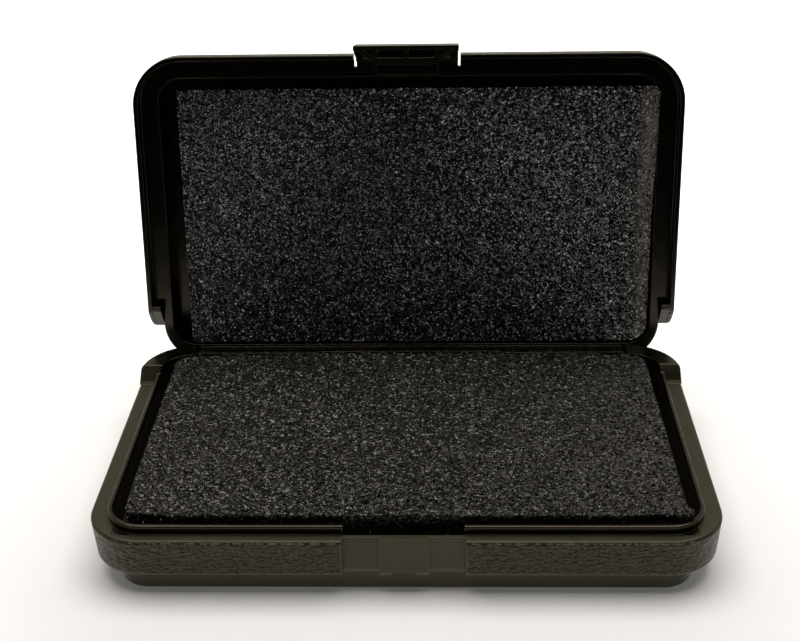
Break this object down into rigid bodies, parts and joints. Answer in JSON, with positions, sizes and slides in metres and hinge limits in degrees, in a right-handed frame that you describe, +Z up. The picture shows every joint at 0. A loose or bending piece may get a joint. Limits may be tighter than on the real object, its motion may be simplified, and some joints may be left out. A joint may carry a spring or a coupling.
{
  "type": "small hard case",
  "caption": "Small blow-moulded hard case standing open, with foam blocks in base and lid, a moulded knuckle hinge and a snap latch on the lid's front edge.",
  "frame": {"origin": "centre of the base's flat underside, on the surface that the case stands on", "axes": "+X to the right along the hinge, +Y towards the hinge side, +Z up; the front with the latch catch faces -Y"},
  "size_m": [0.17, 0.1317, 0.1191],
  "materials": {
    "case_plastic": "black polyethylene, leather-grained on the band and semi-gloss elsewhere",
    "latch_plastic": "black polypropylene, satin",
    "foam": "charcoal open-cell polyurethane foam",
    "adhesive_film": "dried contact adhesive",
    "pin_steel": "drawn steel wire"
  },
  "bodies": {
    "base": {"base_shell": "case_plastic", "base_foam_adhesive": "adhesive_film", "base_foam": "foam", "hinge_pin_left": "pin_steel", "hinge_pin_right": "pin_steel"},
    "lid": {"lid_shell": "case_plastic", "lid_foam_adhesive": "adhesive_film", "lid_foam": "foam", "latch_pin": "pin_steel"},
    "latch": {"latch": "latch_plastic"}
  },
  "joints": [
    {"name": "lid_hinge", "type": "hinge", "parent": "base", "child": "lid", "pos_m": [0, 0.0488, 0.0155], "axis": [1, 0, 0], "range_deg": [0, 99]},
    {"name": "latch_hinge", "type": "hinge", "parent": "lid", "child": "latch", "pos_m": [0, 0.06805, 0.11208], "axis": [1, 0, 0], "range_deg": [-65, 5]}
  ]
}
